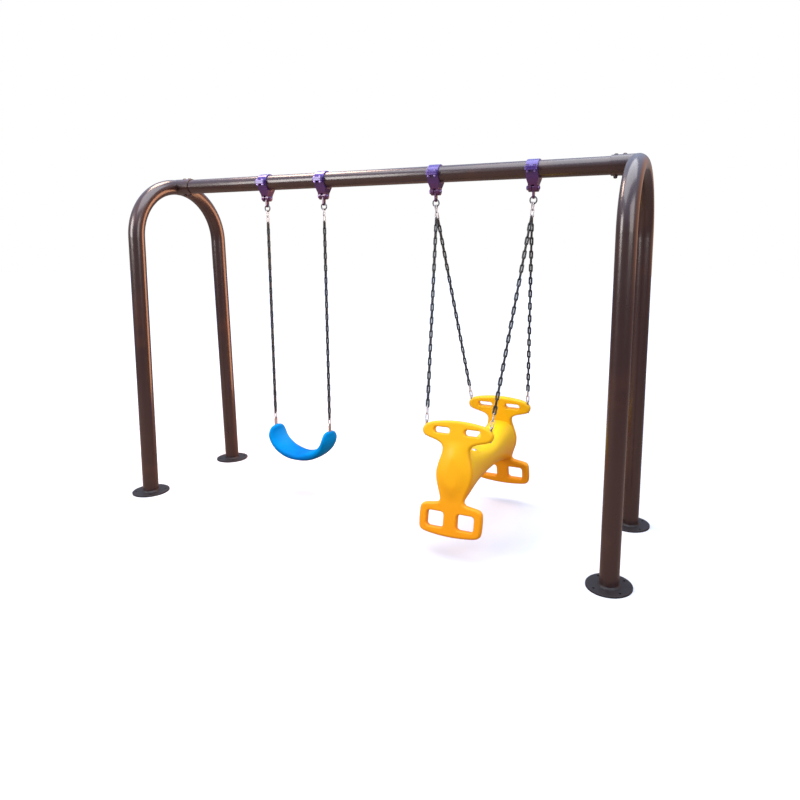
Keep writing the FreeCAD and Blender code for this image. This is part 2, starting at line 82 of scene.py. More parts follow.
class Socket:
    # one output socket; arithmetic on it adds Math nodes to its tree
    def __init__(self, owner, out):
        self.owner, self.out = owner, out

    def maths(self, operation, first, second):
        return self.owner.add("ShaderNodeMath", {"operation": operation}, {0: first, 1: second})

    def __add__(self, other):
        return self.maths("ADD", self, other)

    def __radd__(self, other):
        return self.maths("ADD", other, self)

    def __sub__(self, other):
        return self.maths("SUBTRACT", self, other)

    def __rsub__(self, other):
        return self.maths("SUBTRACT", other, self)

    def __mul__(self, other):
        return self.maths("MULTIPLY", self, other)

    def __rmul__(self, other):
        return self.maths("MULTIPLY", other, self)

    def clamped(self):
        return self.owner.add("ShaderNodeClamp", {}, {"Value": self})


class Tree:
    # an emptied node tree; add() makes any node from its type, its settings and its sockets
    def __init__(self, tree):
        self.tree = tree
        self.tree.nodes.clear()

    def put(self, node, name, value):
        if isinstance(value, Socket):
            self.tree.links.new(value.out, node.inputs[name])
        else:
            node.inputs[name].default_value = value

    def add(self, kind, settings, values, result=0):
        node = self.tree.nodes.new(kind)
        for name, value in settings.items():
            setattr(node, name, value)
        for name, value in values.items():
            self.put(node, name, value)
        return Socket(self, node.outputs[result])

    def step(self, value, low, high):
        # 0 below low, 1 above high, smooth between
        settings = {"interpolation_type": "SMOOTHSTEP"}
        return self.add("ShaderNodeMapRange", settings, {"Value": value, "From Min": low, "From Max": high})

    def mix(self, share, first, second):
        inputs = {0: share, 6: self.colour(first), 7: self.colour(second)}
        return self.add("ShaderNodeMix", {"data_type": "RGBA"}, inputs, 2)

    def colour(self, value):
        return value if isinstance(value, Socket) else (*value, 1.0)


class Paint(Tree):
    # one material with a Principled shader
    def __init__(self, name):
        self.material = bpy.data.materials.new(name)
        self.material.use_nodes = True
        super().__init__(self.material.node_tree)
        self.output = self.tree.nodes.new("ShaderNodeOutputMaterial")
        self.shader = self.tree.nodes.new("ShaderNodeBsdfPrincipled")
        self.tree.links.new(self.shader.outputs[0], self.output.inputs["Surface"])

    def place(self):
        return self.add("ShaderNodeTexCoord", {}, {}, "Object")

    def along(self, axis):
        # one coordinate of the piece's place, in metres
        return self.add("ShaderNodeSeparateXYZ", {}, {"Vector": self.place()}, axis)

    def noise(self, scale, detail=3.0, rough=0.5):
        inputs = {"Vector": self.place(), "Scale": scale, "Detail": detail, "Roughness": rough}
        return self.add("ShaderNodeTexNoise", {}, inputs, "Fac")

    def bump(self, height, strength, distance):
        inputs = {"Height": height, "Strength": strength, "Distance": distance}
        return self.add("ShaderNodeBump", {}, inputs, "Normal")

    def finish(self, **values):
        # names with underscores are the shader's sockets: Base_Color is Base Color
        for name, value in values.items():
            self.put(self.shader, name.replace("_", " "), value)
        return self.material


def dress(material, *names):
    # a CAD piece keeps its mesh and gets this material in every slot
    for name in names:
        for slot in nodes[name].material_slots:
            slot.material = material


# bronze-brown enamel of the tubes

tubeLook = {
    "brown": (0.04, 0.016, 0.0145),
    "copper": (0.16, 0.055, 0.022),
    "dust": (0.12, 0.1, 0.09),
    "roughness": 0.3,
    "beamRoughness": 0.36,
    "cloudScale": 3.1,
    "flakeScale": 900.0,
    "copperFrom": (0.52, 0.78),  # cloud values where copper begins and where it is full
    "copperShare": 0.35,
    "dustHeights": (0.09, 0.01),  # metres, where dust begins and where it is full
    "dustFrom": (0.42, 0.7),
    "dustShare": 0.35,
    "peelScale": 300.0,
    "peel": 0.00008,  # metres, height of the orange-peel ripple
    "lacquer": {"Coat_Weight": 0.7, "Coat_Roughness": 0.19, "Coat_IOR": 1.6},
}


def tubePaint(name, look, roughness):
    # brown with cloudy copper, duller in patches, a fine ripple, and dust low on the legs
    paint = Paint(name)
    cloud = paint.noise(look["cloudScale"], 4.0)
    flake = paint.noise(look["flakeScale"], 1.0)
    height = paint.along("Z")
    copper = paint.step(cloud + (flake - 0.5) * 0.25, *look["copperFrom"]) * look["copperShare"]
    brown = paint.mix(copper, look["brown"], look["copper"])
    low = paint.step(height + paint.noise(26.0) * 0.05, *look["dustHeights"])
    dust = low * paint.step(paint.noise(60.0), *look["dustFrom"])
    colour = paint.mix(dust * look["dustShare"], brown, look["dust"])
    dull = roughness + (paint.noise(9.0, 5.0) - 0.5) * 0.16 + dust * 0.25
    normal = paint.bump(paint.noise(look["peelScale"], 2.0), 0.05, look["peel"])
    return paint.finish(Base_Color=colour, Roughness=dull.clamped(), Metallic=0.15, Normal=normal,
                        **look["lacquer"])


enamel = tubePaint("bronzeEnamel", tubeLook, tubeLook["roughness"])
enamelBeam = tubePaint("bronzeEnamelBeam", tubeLook, tubeLook["beamRoughness"])
dress(enamel, "arch_left", "arch_right")
dress(enamelBeam, "beam", "sleeve_left", "sleeve_right")


# satin dark paint of the foot flanges

flangeLook = {
    "grey": (0.018, 0.0125, 0.0125),
    "worn": (0.06, 0.045, 0.04),
    "wornFrom": (0.56, 0.72),  # noise values where a scuff begins and where it is full
    "wornShare": 0.4,
    "roughness": 0.5,
    "grain": 0.0002,  # metres
}


def flangePaint(look):
    # dark grey with scuffs where feet and rain reach it
    paint = Paint("flangePaint")
    scuff = paint.step(paint.noise(34.0, 6.0, 0.65), *look["wornFrom"]) * look["wornShare"]
    colour = paint.mix(scuff, look["grey"], look["worn"])
    dull = look["roughness"] + paint.noise(18.0, 4.0) * 0.2
    normal = paint.bump(paint.noise(150.0, 3.0), 0.3, look["grain"])
    return paint.finish(Base_Color=colour, Roughness=dull, Metallic=0.1, Normal=normal,
                        Coat_Weight=0.12, Coat_Roughness=0.25)


dress(flangePaint(flangeLook), "flange_left_front", "flange_left_rear",
      "flange_right_front", "flange_right_rear")


# purple powder coat of the hangers

purpleLook = {
    "top": (0.06, 0.028, 0.26),  # violet of the hoop, painted blue sky light on its top
    "low": (0.085, 0.014, 0.085),  # redder below the beam, painted warm light and shade
    "worn": (0.22, 0.15, 0.27),
    "paintedLightHeights": (2.16, 2.33),  # heights between which the painted shade below turns into the painted sky light above, metres
    "wornFrom": (0.66, 0.74),
    "wornShare": 0.5,
    "roughness": 0.27,
    "grain": 0.00025,  # metres
}


def purplePaint(look):
    # violet above and plum below as painted sky light and painted shade, cast grain under the coat, thin at a
    # few rubbed spots
    paint = Paint("purplePowderCoat")
    # painted light: the tone turns from the shaded plum to the sky-lit violet with height
    share = paint.step(paint.along("Z") + (paint.noise(14.0) - 0.5) * 0.04, *look["paintedLightHeights"])
    colour = paint.mix(share, look["low"], look["top"])
    rubbed = paint.step(paint.noise(55.0, 6.0, 0.7), *look["wornFrom"]) * look["wornShare"]
    colour = paint.mix(rubbed, colour, look["worn"])
    grain = paint.noise(340.0, 3.0, 0.6) + paint.noise(60.0, 2.0) * 0.5
    dull = look["roughness"] + paint.noise(40.0, 3.0) * 0.16
    normal = paint.bump(grain, 0.2, look["grain"])
    return paint.finish(Base_Color=colour, Roughness=dull, Metallic=0.25, Normal=normal,
                        Coat_Weight=0.8, Coat_Roughness=0.1)


castNames = [f"{part}_{i}" for part in ("hanger_cap", "hanger_body", "pendulum") for i in range(1, 5)]
dress(purplePaint(purpleLook), *castNames)


# plain metals: pins, bolts, bushes, rings and chain

metalLook = {
    "tintedPin": {"tone": (0.2, 0.13, 0.36), "spot": (0.5, 0.45, 0.6), "roughness": 0.3, "grain": 300.0},
    "zinc": {"tone": (0.52, 0.51, 0.52), "spot": (0.34, 0.32, 0.3), "roughness": 0.34, "grain": 260.0},
    "dullRing": {"tone": (0.2, 0.2, 0.21), "spot": (0.09, 0.08, 0.08), "roughness": 0.42, "grain": 120.0},
    "darkBolt": {"tone": (0.12, 0.09, 0.09), "spot": (0.05, 0.035, 0.035), "roughness": 0.36, "grain": 220.0},
    "bareChain": {"tone": (0.7, 0.66, 0.65), "spot": (0.44, 0.33, 0.32), "roughness": 0.38, "grain": 160.0},
    "bronze": {"tone": (0.45, 0.26, 0.11), "spot": (0.2, 0.11, 0.05), "roughness": 0.35, "grain": 220.0},
}

platingLook = {"cloudFrom": (0.45, 0.75), "cloudShare": 0.7, "dulling": 0.2, "grain": 0.0001, "metallic": 0.9}


def metal(name, look, plating):
    # plated metal, clouded by handling, with a fine grain in its gloss
    paint = Paint(name)
    cloud = paint.step(paint.noise(look["grain"] * 0.3, 5.0, 0.6), *plating["cloudFrom"])
    colour = paint.mix(cloud * plating["cloudShare"], look["tone"], look["spot"])
    dull = look["roughness"] + cloud * plating["dulling"]
    normal = paint.bump(paint.noise(look["grain"], 2.0), 0.3, plating["grain"])
    return paint.finish(Base_Color=colour, Roughness=dull, Metallic=plating["metallic"], Normal=normal)


metals = {name: metal(name, look, platingLook) for name, look in metalLook.items()}
dress(metals["tintedPin"], "hanger_bolts", "hanger_nuts", "pivot_nuts")
dress(metals["tintedPin"], *[f"pivot_pin_{i}" for i in range(1, 5)])
dress(metals["darkBolt"], "sleeve_bolts", "sleeve_nuts")
dress(metals["zinc"], "eye_bolts", "eye_nuts")
dress(metals["dullRing"], *[f"ring_{i}" for i in range(1, 5)])
dress(metals["bronze"], *[f"pivot_bush_{i}" for i in range(1, 5)])
chainEnds = ["belt_chain_left", "belt_chain_right", "glider_chain_front_left", "glider_chain_front_right",
             "glider_chain_rear_left", "glider_chain_rear_right"]
dress(metals["bareChain"], "belt_eyes", "seat_bolts", *[f"{name}_bare" for name in chainEnds])


# soft black coating of the chain

coatingLook = {
    "black": (0.02, 0.021, 0.021),
    "chalk": (0.085, 0.09, 0.09),
    "chalkFrom": (0.42, 0.72),  # noise values where chalk begins and where it is full
    "chalkShare": 0.6,
    "roughness": 0.42,
    "lumps": 0.0006,  # metres
}


def chainCoating(look):
    # black, chalky where hands have not polished it, gently lumpy as a dipped coat is
    paint = Paint("dippedCoating")
    chalk = paint.step(paint.noise(45.0, 5.0, 0.6), *look["chalkFrom"])
    colour = paint.mix(chalk * look["chalkShare"], look["black"], look["chalk"])
    dull = look["roughness"] + chalk * 0.18
    normal = paint.bump(paint.noise(110.0, 3.0), 0.4, look["lumps"])
    return paint.finish(Base_Color=colour, Roughness=dull, Normal=normal,
                        Coat_Weight=0.15, Coat_Roughness=0.3)


# moulded plastics

plasticLook = {
    # painted light and shade: a lighter tone high up and a darker one low down, and the heights between which
    # one turns into the other
    "board": {"high": (1.0, 0.52, 0.008), "low": (1.0, 0.36, 0.006), "heights": (0.18, 0.72),
              "roughness": 0.36, "gloss": 0.25, "ior": 1.45},
    "saddle": {"high": (1.0, 0.63, 0.016), "low": (1.0, 0.42, 0.012), "heights": (0.36, 0.58),
               "roughness": 0.34, "gloss": 0.25, "ior": 1.45},
    "belt": {"high": (0.0, 0.275, 0.7), "low": (0.0, 0.115, 0.4), "heights": (0.27, 0.4),
             "roughness": 0.52, "gloss": 0.3, "ior": 1.12},
}

skinLook = {"scuffFrom": (0.6, 0.75), "dulling": 0.12, "grain": 0.0003, "coat": 0.2,
            "under": {"Subsurface_Weight": 0.08, "Subsurface_Radius": (0.01, 0.006, 0.003)}}


def plastic(name, look, skin):
    # satin moulded skin: a slow change of tone with height that is painted light and shade, faint mottling, a
    # fine leather-like grain
    paint = Paint(name)
    height = paint.along("Z") + (paint.noise(5.0) - 0.5) * 0.08
    # painted light and shade: the colour runs from the darker low tone to the lighter high tone with height
    colour = paint.mix(paint.step(height, *look["heights"]), look["low"], look["high"])
    scuffed = paint.step(paint.noise(30.0, 6.0, 0.7), *skin["scuffFrom"])
    dull = look["roughness"] + scuffed * skin["dulling"]
    normal = paint.bump(paint.noise(520.0, 2.0) + paint.noise(40.0, 2.0) * 0.6, 0.16, skin["grain"])
    return paint.finish(Base_Color=colour, Roughness=dull, Normal=normal,
                        IOR=look["ior"], Specular_IOR_Level=look["gloss"],
                        Coat_Weight=skin["coat"] * (look["ior"] - 1.0), Coat_Roughness=0.25,
                        **skin["under"])


yellow = plastic("yellowBoard", plasticLook["board"], skinLook)
yellowSaddle = plastic("yellowSaddle", plasticLook["saddle"], skinLook)
blue = plastic("blueBelt", plasticLook["belt"], skinLook)
print("materials made")


# surfaces from arrays

def gridFaces(rows, columns, closed):
    # the corner numbers of every quad of a rows by columns grid whose last column is joined to the
    # first, and with closed its last row too
    down = rows if closed else rows - 1
    row, column = (a.ravel() for a in np.meshgrid(np.arange(down), np.arange(columns), indexing="ij"))
    nextRow, nextColumn = (row + 1) % rows, (column + 1) % columns
    return np.stack([row * columns + column, row * columns + nextColumn,
                     nextRow * columns + nextColumn, nextRow * columns + column], 1)


def makePiece(name, points, faces, material, body, stands):
    # points and faces as arrays, smooth all over, riding on a body in place of CAD pieces
    mesh = bpy.data.meshes.new(name)
    mesh.from_pydata(points.reshape(-1, 3), [], faces)
    mesh.validate()
    mesh.polygons.foreach_set("use_smooth", np.ones(len(mesh.polygons), bool))
    mesh.materials.append(material)
    piece = bpy.data.objects.new(name, mesh)
    scene.collection.objects.link(piece)
    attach(piece, body)
    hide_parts(*stands)


def power(value, exponent):
    # a power that keeps the sign, which squares off the sine and cosine of an oval
    return np.sign(value) * np.abs(value) ** exponent


def easeIn(value, low, high):
    # 0 below low, 1 above high, with level ends
    share = np.clip((value - low) / (high - low), 0.0, 1.0)
    return share * share * (3.0 - 2.0 * share)


# belt seat

beltForm = {
    "middle": (-0.615, 0.4752),  # x and height where the two curved arms begin
    "outer": (0.25, 0.196),  # half axes of the outer curve
    "inner": (0.216, 0.146),
    "top": 0.5132,
    "halfWidth": 0.094,
    "cornerRadius": 0.078,
    "edgeRadius": 0.02,
    "sectionPower": 3.0,  # 2 is an oval section, more is squarer
    "crown": 0.0035,  # how much the middle of the belt is thicker than its sides
    "crownBase": 0.6,  # the share of it taken off everywhere
    "crowding": 0.12,  # how strongly rows crowd towards the ends
    "endFlat": 0.02,  # how far the square of the thickness stays above nothing at the very end
    "narrowing": 0.5,  # the share of the edge radius by which the ends close in sideways
    "samples": 600,
    "along": 160,
    "around": 56,
}


def beltSeat(form, material):
    # a flattened oval carried along half an ellipse; its width follows rounded corners and
    # its thickness closes in a half round at both ends, down to a small flat
    x0, z0 = form["middle"]
    outer, inner = np.array(form["outer"]), np.array(form["inner"])
    half = (outer + inner) / 2.0
    turn = np.linspace(math.pi, 2.0 * math.pi, form["samples"])
    curve = np.stack([x0 + half[0] * np.cos(turn), z0 + half[1] * np.sin(turn)], 1)
    curve = np.vstack([[x0 - half[0], form["top"]], curve, [x0 + half[0], form["top"]]])
    thick = np.abs(np.cos(turn)) * (outer[0] - inner[0]) + np.abs(np.sin(turn)) * (outer[1] - inner[1])
    thick = np.concatenate([[outer[0] - inner[0]], thick, [outer[0] - inner[0]]]) / 2.0
    steps = np.hypot(*np.diff(curve, axis=0).T)
    length = np.concatenate([[0.0], np.cumsum(steps)])
    total = length[-1]
    # rows crowd towards both ends, where the outline is round
    share = np.linspace(0.0, 1.0, form["along"])
    place = total * (share - form["crowding"] * np.sin(2.0 * math.pi * share))
    centre = np.stack([np.interp(place, length, curve[:, i]) for i in (0, 1)], 1)
    thickness = np.interp(place, length, thick)
    tangent = np.gradient(centre, axis=0)
    tangent /= np.maximum(np.hypot(*tangent.T), 1e-9)[:, None]
    normal = np.stack([tangent[:, 1], -tangent[:, 0]], 1)
    fromEnd = np.minimum(place, total - place)
    corner, edge = form["cornerRadius"], form["edgeRadius"]
    inCorner = np.clip(1.0 - fromEnd / corner, 0.0, 1.0)
    width = form["halfWidth"] - corner + corner * np.sqrt(np.maximum(1.0 - inCorner ** 2, 0.0))
    inEdge = np.clip(1.0 - fromEnd / edge, 0.0, 1.0)
    closing = np.sqrt(np.maximum(1.0 - inEdge ** 2, form["endFlat"]))
    around = np.linspace(0.0, 2.0 * math.pi, form["around"], endpoint=False)
    side = power(np.cos(around), 2.0 / form["sectionPower"])
    face = power(np.sin(around), 2.0 / form["sectionPower"])
    across = np.outer(width - edge * form["narrowing"] * (1.0 - closing), side)
    crown = form["crown"] * (1.0 - side[None, :] ** 2) - form["crown"] * form["crownBase"]
    deep = np.outer(thickness * closing, face) + crown * face[None, :] * closing[:, None]
    points = np.empty((len(place), len(around), 3))
    points[..., 0] = centre[:, 0, None] + normal[:, 0, None] * deep
    points[..., 1] = across
    points[..., 2] = centre[:, 1, None] + normal[:, 1, None] * deep
    faces = gridFaces(len(place), len(around), False)[:, ::-1].tolist()
    last = (len(place) - 1) * len(around)
    faces += [list(range(len(around))), [last + i for i in reversed(range(len(around)))]]
    makePiece("beltSeatMoulded", points, faces, material, "belt", ["belt_seat"])


# dipped chain

dipForm = {
    "reach": 0.0136,  # metres from a link's middle to its outer side
    "thick": 0.0046,  # half the coat's thickness through the link
    "film": 0.0063,  # half its width in the link's plane, so the gap in the link nearly closes
    "along": 20,
    "around": 8,
    "links": {"belt": 33, "glider": 28},  # coated links in one chain
}


def linkFrames(name, count):
    # each link's middle and its long, broad and thin directions, from the spread of its own corners
    co = np.empty(len(nodes[name].data.vertices) * 3)
    nodes[name].data.vertices.foreach_get("co", co)
    links = co.reshape(count, -1, 3)
    middle = (links.max(1) + links.min(1)) / 2.0
    spread = links - links.mean(1)[:, None, :]
    axes = np.linalg.eigh(np.einsum("nki,nkj->nij", spread, spread))[1]
    axes = np.transpose(axes, (0, 2, 1))
    reach = np.abs(np.einsum("nki,ni->nk", spread, axes[:, 2])).max(1)
    return middle, axes[:, 2], axes[:, 1], axes[:, 0], reach


def dippedChain(name, count, form, material, body):
    # every link is a stadium: half turns at its ends joined by straights, under a flattened oval coat
    middle, long, broad, thin, reach = linkFrames(name, count)
    radius = form["reach"] - form["film"]
    straight = reach.mean() - form["reach"]
    turn = np.linspace(0.0, 2.0 * math.pi, form["along"], endpoint=False) + math.pi / form["along"]
    outX, outY = np.sin(turn), np.cos(turn)
    pathX = outX * radius + np.sign(outX) * straight
    pathY = outY * radius
    around = np.linspace(0.0, 2.0 * math.pi, form["around"], endpoint=False)
    film = form["film"] * np.cos(around)
    x = pathX[:, None] + outX[:, None] * film
    y = pathY[:, None] + outY[:, None] * film
    z = np.broadcast_to(form["thick"] * np.sin(around), x.shape)
    points = (middle[:, None, None, :] + long[:, None, None, :] * x[None, ..., None]
              + broad[:, None, None, :] * y[None, ..., None] + thin[:, None, None, :] * z[None, ..., None])
    one = gridFaces(*x.shape, True)
    # a left-handed set of directions turns that link's faces over
    handed = np.einsum("ni,ni->n", np.cross(long, broad), thin) < 0
    faces = []
    for i in range(count):
        quads = one if not handed[i] else one[:, ::-1]
        faces += (quads + i * x.size).tolist()
    makePiece(name + "_dipped", points, faces, material, body, [name])


# glider

gliderForm = {
    "middle": 0.7865,  # x of the middle
    "endY": 0.435,  # from the middle to each end board, at height endZ
    "endZ": 0.45,
    "lean": math.radians(11.4),
    "half": 0.022,  # half the board's thickness
    "proud": 0.016,  # how far the torso swells out of it
    "puffFrom": (0.002, 0.085),  # distances from the board's edge where the swelling starts and ends
    "puffLow": (0.33, 0.44),  # heights over which it comes and goes
    "puffHigh": (0.58, 0.7),
    "rim": 0.0155,
    "holeRim": 0.0095,
    "cell": 0.0026,  # grid pitch of the moulded skin
    # half outline of a board, x and height, from the top of the handle to the foot rest
    "board": ((0, 806), (60, 804), (115, 798), (162, 790), (198, 776), (219, 755), (224, 733),
              (213, 711), (188, 698), (155, 689), (124, 680), (98, 666), (86, 644), (88, 614),
              (98, 580), (107, 548), (113, 515), (113, 485), (106, 445), (92, 405), (80, 370),
              (76, 348), (87, 333), (118, 326), (152, 321), (180, 313), (194, 295), (198, 262),
              (198, 225), (196, 190), (189, 167), (170, 154), (135, 147), (92, 142), (46, 139),
              (0, 138)),
    # x, height, width, height and corner radius of the openings of one side
    "openings": ((98, 745, 103, 36, 17.9), (96, 232, 108, 92, 20)),
    # seat: distance from the middle, half width, widest height, top and bottom
    "seat": ((0, 101, 507, 568, 390), (120, 100, 506, 578, 384), (250, 100, 505, 603, 368),
             (330, 103, 503, 617, 352), (450, 107, 499, 630, 322)),
    "outlinePieces": 10,  # points between two of the outline's
    "seatPower": 2.5,
    "seatCrowding": 0.35,  # how strongly the seat's rows crowd towards the boards
    "flare": 0.01,  # how far the seat swells where it meets a board
    "flareReach": 0.02,
    "flareRise": 0.8,  # its share upwards and downwards
    "torso": (340, 670),  # heights of the board's outline that the seat's width keeps within
    "heldOver": 0.07,  # metres from the board over which that holds
    "bolt": (0.044, 0.222, 0.594),  # across, along and height of a seat bolt's flat
    "boltFlat": 0.021,
    "boltEase": 0.008,  # how far beyond the flat the skin runs back to its curve
    "boltSunk": 0.0003,
    "topFrom": 0.2,  # the share of the way up a section where its top begins
    "sink": 0.018,  # how deep the seat's ends reach into the boards
    "within": 0.004,  # how far its ends stay inside the edge of the boards
    "seatAlong": 190,
    "seatAround": 120,
}


def upBoard(form, height):
    # height along the leaning board for a height above the ground, metres
    return (np.asarray(height) - form["endZ"]) / math.cos(form["lean"])


def smoothOutline(form):
    # the half outline mirrored and run through by a closed Catmull-Rom curve
    right = np.array(form["board"], float) / 1000.0
    left = right[1:-1][::-1] * (-1.0, 1.0)
    knots = np.vstack([right, left])
    knots[:, 1] = upBoard(form, knots[:, 1])
    before, after, beyond = (np.roll(knots, n, axis=0) for n in (1, -1, -2))
    t = (np.arange(form["outlinePieces"]) / form["outlinePieces"])[None, :, None]
    k, b, a, c = knots[:, None], before[:, None], after[:, None], beyond[:, None]
    square, cube = 2 * b - 5 * k + 4 * a - c, 3 * k - b - 3 * a + c
    curve = 0.5 * (2 * k + (a - b) * t + square * t ** 2 + cube * t ** 3)
    return curve.reshape(-1, 2)


def depthInside(outline, x, z):
    # distance to the nearest edge of the outline, positive inside, counted by crossings
    start, end = outline, np.roll(outline, -1, axis=0)
    along = end - start
    size = (along ** 2).sum(1)
    depth = np.empty(x.size)
    points = np.stack([x.ravel(), z.ravel()], 1)
    batch = 8192  # points at a time, to spare memory
    for first in range(0, len(points), batch):
        p = points[first:first + batch, None, :]
        share = np.clip(((p - start) * along).sum(2) / size, 0.0, 1.0)
        gap = np.sqrt((((p - start) - along * share[..., None]) ** 2).sum(2)).min(1)
        over = (start[:, 1] > p[..., 1]) != (end[:, 1] > p[..., 1])
        rise = np.where(along[:, 1] == 0, 1e-12, along[:, 1])
        reach = start[:, 0] + along[:, 0] * (p[..., 1] - start[:, 1]) / rise
        inside = (over & (p[..., 0] < reach)).sum(1) % 2 == 1
        depth[first:first + batch] = np.where(inside, gap, -gap)
    return depth.reshape(x.shape)


def depthOutsideBox(x, z, box, form):
    # distance from a rounded oblong opening, positive outside it
    cx, cz, width, height, radius = (v / 1000.0 for v in box)
    qx = np.abs(np.abs(x) - cx) - width / 2.0 + radius
    qz = np.abs(z - upBoard(form, cz)) - height / 2.0 + radius
    outside = np.hypot(np.maximum(qx, 0), np.maximum(qz, 0))
    return outside + np.minimum(np.maximum(qx, qz), 0) - radius


def gliderBoard(form):
    # a flat grid over the board; points near an edge are drawn towards it so that they stand
    # evenly round the rim, and their height falls along a quarter circle
    cell = form["cell"]
    outline = smoothOutline(form)
    low, high = outline.min(0) - 2 * cell, outline.max(0) + 2 * cell
    xs, zs = (np.arange(low[i], high[i] + cell, cell) for i in (0, 1))
    x, z = np.meshgrid(xs, zs, indexing="ij")
    outer = depthInside(outline, x, z)
    edges = [(outer, form["rim"])]
    edges += [(depthOutsideBox(x, z, box, form), form["holeRim"]) for box in form["openings"]]
    inside = np.minimum.reduce([depth for depth, rim in edges])
    mean = (inside[:-1, :-1] + inside[1:, :-1] + inside[:-1, 1:] + inside[1:, 1:]) / 4.0
    i, j = np.nonzero(mean > 0)
    wide = len(zs)
    quads = np.stack([i * wide + j, (i + 1) * wide + j, (i + 1) * wide + j + 1, i * wide + j + 1], 1)
    sides = np.concatenate([quads[:, [a, (a + 1) % 4]] for a in range(4)])
    keys = np.sort(sides, axis=1)
    _, first, count = np.unique(keys, axis=0, return_index=True, return_counts=True)
    rimSides = sides[first[count == 1]]
    onRim = np.zeros(x.size, bool)
    onRim[rimSides.ravel()] = True
    onRim = onRim.reshape(x.shape)
    px, pz = x.copy(), z.copy()
    drop = np.zeros_like(x)
    for depth, rim in edges:
        slopeX, slopeZ = np.gradient(depth, cell)
        size = np.maximum(np.hypot(slopeX, slopeZ), 1e-6)
        nearest = depth == inside
        real = np.where(onRim & nearest, 0.0, np.clip(depth, 0.0, rim))
        angle = real / rim * math.pi / 2.0
        wanted = rim * (1.0 - np.cos(angle))
        shift = np.where(depth < rim, wanted - depth, 0.0)
        shift = np.where((depth < 0) & ~onRim, 0.0, shift)
        px += slopeX / size * shift
        pz += slopeZ / size * shift
        drop = np.maximum(drop, np.where(depth < rim, rim * (1.0 - np.sin(angle)), 0.0))
    puff = easeIn(outer, *form["puffFrom"]) * easeIn(pz, *upBoard(form, form["puffLow"]))
    puff = puff * (1.0 - easeIn(pz, *upBoard(form, form["puffHigh"])))
    outside = -(form["half"] - drop) - form["proud"] * puff
    within = form["half"] - drop
    used, order = np.unique(quads, return_inverse=True)
    quads = order.reshape(quads.shape)
    count = len(used)
    renumber = np.full(x.size, -1)
    renumber[used] = np.arange(count)
    sheet = [np.stack([px.ravel()[used], y.ravel()[used], pz.ravel()[used]], 1) for y in (outside, within)]
    wall = renumber[rimSides]
    bridge = np.stack([wall[:, 1], wall[:, 0], wall[:, 0] + count, wall[:, 1] + count], 1)
    return np.vstack(sheet), np.vstack([quads, quads[:, ::-1] + count, bridge])


def leanBoard(form, points, side):
    # turned about X by the lean, moved out to its end, and half turned for the rear one
    c, s = math.cos(form["lean"]), math.sin(form["lean"])
    y = points[:, 1] * c + points[:, 2] * s - form["endY"]
    z = points[:, 2] * c - points[:, 1] * s + form["endZ"]
    x = points[:, 0]
    if side > 0:
        x, y = -x, -y
    return np.stack([x + form["middle"], y, z], 1)


def gliderSeat(form, material):
    # ovals round a line from board to board; sections in between follow a smooth curve, and the
    # skin swells a little where it meets the boards
    sections = np.array(form["seat"], float) / 1000.0
    steps = np.linspace(-1.0, 1.0, form["seatAlong"])
    crowding = form["seatCrowding"]
    steps = np.sin(steps * math.pi / 2.0) * crowding + steps * (1.0 - crowding)
    around = np.linspace(0.0, 2.0 * math.pi, form["seatAround"], endpoint=False)
    side = power(np.cos(around), 2.0 / form["seatPower"])
    rise = power(np.sin(around), 2.0 / form["seatPower"])
    fit = [np.polynomial.Polynomial.fit(sections[:, 0] ** 2, sections[:, i], 3) for i in range(1, 5)]
    far = sections[-1, 0]
    length = np.abs(steps) * far
    wide, middle, top, bottom = (f(length ** 2)[:, None] for f in fit)
    height = np.where(rise[None, :] > 0, top - middle, middle - bottom) * rise[None, :]
    z = middle + height
    # each line of the grid ends inside the leaning board
    reach = form["endY"] - form["half"] / math.cos(form["lean"]) + (form["endZ"] - z) * math.tan(form["lean"])
    y = steps[:, None] * (reach + form["sink"])
    toBoard = (1.0 - np.abs(steps[:, None])) * reach
    swell = form["flare"] * np.exp(-toBoard / form["flareReach"])
    x = (wide + swell) * side[None, :]
    z = z + swell * rise[None, :] * form["flareRise"]
    foot, neck = form["torso"]
    torso = np.array([row for row in form["board"] if foot < row[1] < neck][::-1], float) / 1000.0
    limit = np.interp(z, torso[:, 1], torso[:, 0]) - form["within"]
    held = 1.0 - easeIn(toBoard, 0.0, form["heldOver"])
    x -= np.sign(x) * np.maximum(np.abs(x) - limit, 0.0) * held
    boltX, boltY, boltZ = form["bolt"]
    for hand in (-1, 1):
        away = np.hypot(x + hand * boltX, y - hand * boltY)
        flat = 1.0 - easeIn(away, form["boltFlat"], form["boltFlat"] + form["boltEase"])
        z = np.where(rise[None, :] > form["topFrom"], z + (boltZ - form["boltSunk"] - z) * flat, z)
    points = np.stack([x + form["middle"], y, z], 2)
    faces = gridFaces(*x.shape, False)
    rows, columns = x.shape
    last = (rows - 1) * columns
    faces = faces[:, ::-1].tolist() + [list(range(columns)), [last + i for i in reversed(range(columns))]]
    makePiece("gliderSeatMoulded", points, faces, material, "glider", ["glider_seat"])


beltSeat(beltForm, blue)
print("belt seat made")
coating = chainCoating(coatingLook)
for name in chainEnds:
    swing = name.split("_")[0]
    links = dipForm["links"][swing]
    body = "glider" if swing == "glider" else name.replace("belt_chain", "chain")
    dippedChain(f"{name}_coated", links, dipForm, coating, body)
print("dipped chains made")
boardPoints, boardFaces = gliderBoard(gliderForm)
for end, side in (("front", -1), ("rear", 1)):
    makePiece(f"gliderEnd_{end}", leanBoard(gliderForm, boardPoints, side), boardFaces.tolist(), yellow,
              "glider", [f"glider_end_{end}"])
gliderSeat(gliderForm, yellowSaddle)
print("glider made")


# floor and light

